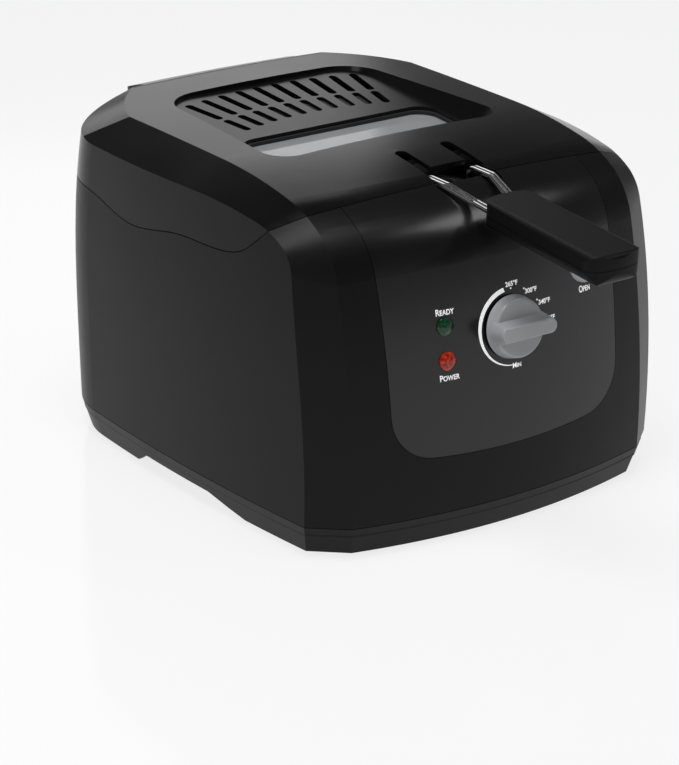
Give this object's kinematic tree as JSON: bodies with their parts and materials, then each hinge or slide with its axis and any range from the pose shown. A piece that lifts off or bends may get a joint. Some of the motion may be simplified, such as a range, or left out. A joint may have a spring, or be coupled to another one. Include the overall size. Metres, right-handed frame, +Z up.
{
  "type": "deep fryer",
  "caption": "Black cool-touch deep fryer with a hinged vented lid and window, a lift-up wire basket on a long handle, a temperature knob, signal lenses and an open button.",
  "frame": {"origin": "on the table, under the middle of the overall box with the handle included", "axes": "+Z up, +Y to the rear hinge, +X to the right seen from the front"},
  "size_m": [0.289, 0.4443, 0.2179],
  "materials": {
    "housing_plastic": "satin black moulding",
    "skirt_plastic": "matte black moulding",
    "base_plastic": "fine grained black moulding",
    "rubber": "soft black rubber",
    "screw_steel": "zinc plated",
    "deck_plastic": "matte black moulding",
    "panel_gloss": "polished piano black",
    "green_lens": "clear dark green jewel",
    "red_lens": "clear orange red jewel",
    "lamp_glass": "clear lamp glass",
    "thermostat_body": "brown phenolic",
    "sheet_steel": "zinc plated sheet",
    "copper": "drawn copper tube",
    "spring_steel": "bright drawn wire",
    "nonstick_aluminium": "dark nonstick coating",
    "element_sheath": "heat darkened sheath",
    "fuse_ceramic": "unglazed ceramic",
    "brass": "plated contact",
    "lid_gloss": "polished black",
    "window_glass": "flat clear pane",
    "liner_aluminium": "satin pressed sheet",
    "silicone": "grey silicone",
    "filter_felt": "carbon filter mat",
    "knob_silver": "silver translucent",
    "button_silver": "silver translucent",
    "basket_chrome": "bright plated wire",
    "handle_plastic": "satin black grip"
  },
  "bodies": {
    "fryer": {"housing_shell": "housing_plastic", "base_skirt": "skirt_plastic", "bottom_cover": "base_plastic", "rubber_feet": "rubber", "base_screws": "screw_steel", "top_deck": "deck_plastic", "front_panel": "panel_gloss", "ready_lens": "green_lens", "power_lens": "red_lens", "indicator_lamps": "lamp_glass", "thermostat": "thermostat_body", "thermostat_bracket": "sheet_steel", "thermostat_sensor": "copper", "button_guide": "base_plastic", "button_spring": "spring_steel", "latch_pivot": "sheet_steel", "oil_pot": "nonstick_aluminium", "heating_element": "element_sheath", "heat_shield": "sheet_steel", "thermal_fuse": "fuse_ceramic", "power_inlet": "base_plastic", "inlet_pins": "brass", "inlet_magnet_plates": "sheet_steel", "hinge_pin": "spring_steel"},
    "lid": {"lid_cover": "lid_gloss", "window_pane": "window_glass", "window_gasket": "rubber", "lid_liner": "liner_aluminium", "lid_seal": "silicone", "filter_frame": "base_plastic", "vent_filter": "filter_felt", "lid_strike": "sheet_steel", "lid_screws": "screw_steel"},
    "knob": {"temperature_knob": "knob_silver", "thermostat_shaft": "spring_steel"},
    "button": {"open_button": "button_silver"},
    "latch": {"latch_lever": "deck_plastic"},
    "basket": {"basket_rim": "basket_chrome", "basket_hoops": "basket_chrome", "basket_uprights": "basket_chrome", "basket_floor": "basket_chrome", "drain_hook": "basket_chrome", "handle_wires": "basket_chrome", "handle_upper": "handle_plastic", "handle_lower": "handle_plastic", "handle_screws": "screw_steel"}
  },
  "joints": [
    {"name": "lid_hinge", "type": "hinge", "parent": "fryer", "child": "lid", "pos_m": [0, 0.2103, 0.188], "axis": [-1, 0, 0], "range_deg": [0, 85]},
    {"name": "basket_lift", "type": "slide", "parent": "fryer", "child": "basket", "axis": [0, 0, 1], "range_m": [0, 0.045]},
    {"name": "knob_turn", "type": "hinge", "parent": "fryer", "child": "knob", "pos_m": [-0.0005, -0.11203, 0.1269], "axis": [0, -0.9878, 0.1556], "range_deg": [0, 270]},
    {"name": "button_press", "type": "slide", "parent": "fryer", "child": "button", "axis": [0, 0.9787, -0.2055], "range_m": [0, 0.003], "stiffness_N_per_m": 600, "springref_m": -0.002, "deforming": ["button_spring"]},
    {"name": "latch_rock", "type": "hinge", "parent": "fryer", "child": "latch", "pos_m": [0.061, -0.0867, 0.178], "axis": [1, 0, 0], "range_deg": [0, 6]}
  ],
  "couplings": [
    {"joint": "latch_rock", "follows": "button_press", "rad_per_m": 34}
  ]
}
